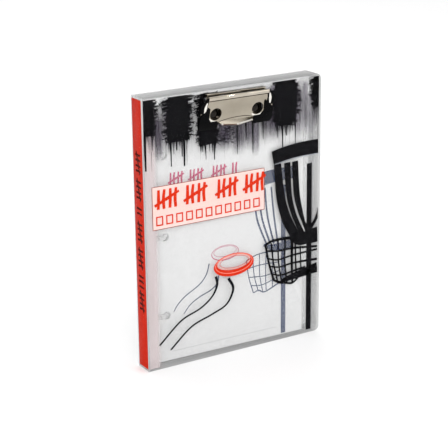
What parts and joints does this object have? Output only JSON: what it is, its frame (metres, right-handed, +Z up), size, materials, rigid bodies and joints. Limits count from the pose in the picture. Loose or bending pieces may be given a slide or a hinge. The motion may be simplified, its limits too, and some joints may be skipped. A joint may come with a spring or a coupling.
{
  "type": "storage clipboard with ring binder",
  "caption": "Slim upright plastic case that opens like a book, with a low spring clip on its printed front cover and flat-band rings inside holding punched score sheets.",
  "frame": {"origin": "middle of the case and clip's outline, on the bottom edge that the case stands on", "axes": "+Z up the case, +Y out of the back cover, the spine towards -X and the front cover towards -Y"},
  "size_m": [0.175, 0.0276, 0.236],
  "materials": {
    "pp": "satin",
    "clear_film": "gloss",
    "print_front": "satin",
    "print_spine": "satin",
    "ring_plastic": "satin",
    "paper": "matte",
    "nickel": "polished",
    "steel": "satin",
    "rubber": "gloss"
  },
  "bodies": {
    "case_back": {"back_cover": "pp", "back_overlay_film": "clear_film", "rear_hinge_web": "pp", "ring_base": "ring_plastic", "ring_base_stakes": "ring_plastic", "gate_hinge_pin": "steel", "score_sheets": "paper", "cover_sheet": "paper"},
    "spine": {"spine_panel": "pp", "spine_overlay_film": "clear_film", "spine_print": "print_spine", "front_hinge_web": "pp"},
    "case_front": {"front_cover": "pp", "front_overlay_film": "clear_film", "front_print": "print_front", "clip_base_plate": "nickel", "clip_hinge_rod": "steel", "clip_spring_left": "steel", "clip_spring_right": "steel", "clip_rivets": "nickel", "clip_washers": "steel"},
    "jaw": {"clip_jaw": "nickel", "jaw_grip_left": "rubber", "jaw_grip_right": "rubber"},
    "gate": {"ring_gate": "ring_plastic"}
  },
  "joints": [
    {"name": "spine_hinge", "type": "hinge", "parent": "case_back", "child": "spine", "pos_m": [-0.0869, 0.0132, 0.118], "axis": [0, 0, -1], "range_deg": [0, 90]},
    {"name": "cover_hinge", "type": "hinge", "parent": "spine", "child": "case_front", "pos_m": [-0.0869, -0.00361, 0.118], "axis": [0, 0, -1], "range_deg": [0, 90]},
    {"name": "jaw_hinge", "type": "hinge", "parent": "case_front", "child": "jaw", "pos_m": [0, -0.0084, 0.2283], "axis": [-1, 0, 0], "range_deg": [0, 28], "stiffness_Nm_per_rad": 0.4, "springref_deg": -28.65},
    {"name": "gate_hinge", "type": "hinge", "parent": "case_back", "child": "gate", "pos_m": [-0.078, 0.0086, 0.1153], "axis": [0, 0, -1], "range_deg": [0, 25]}
  ]
}
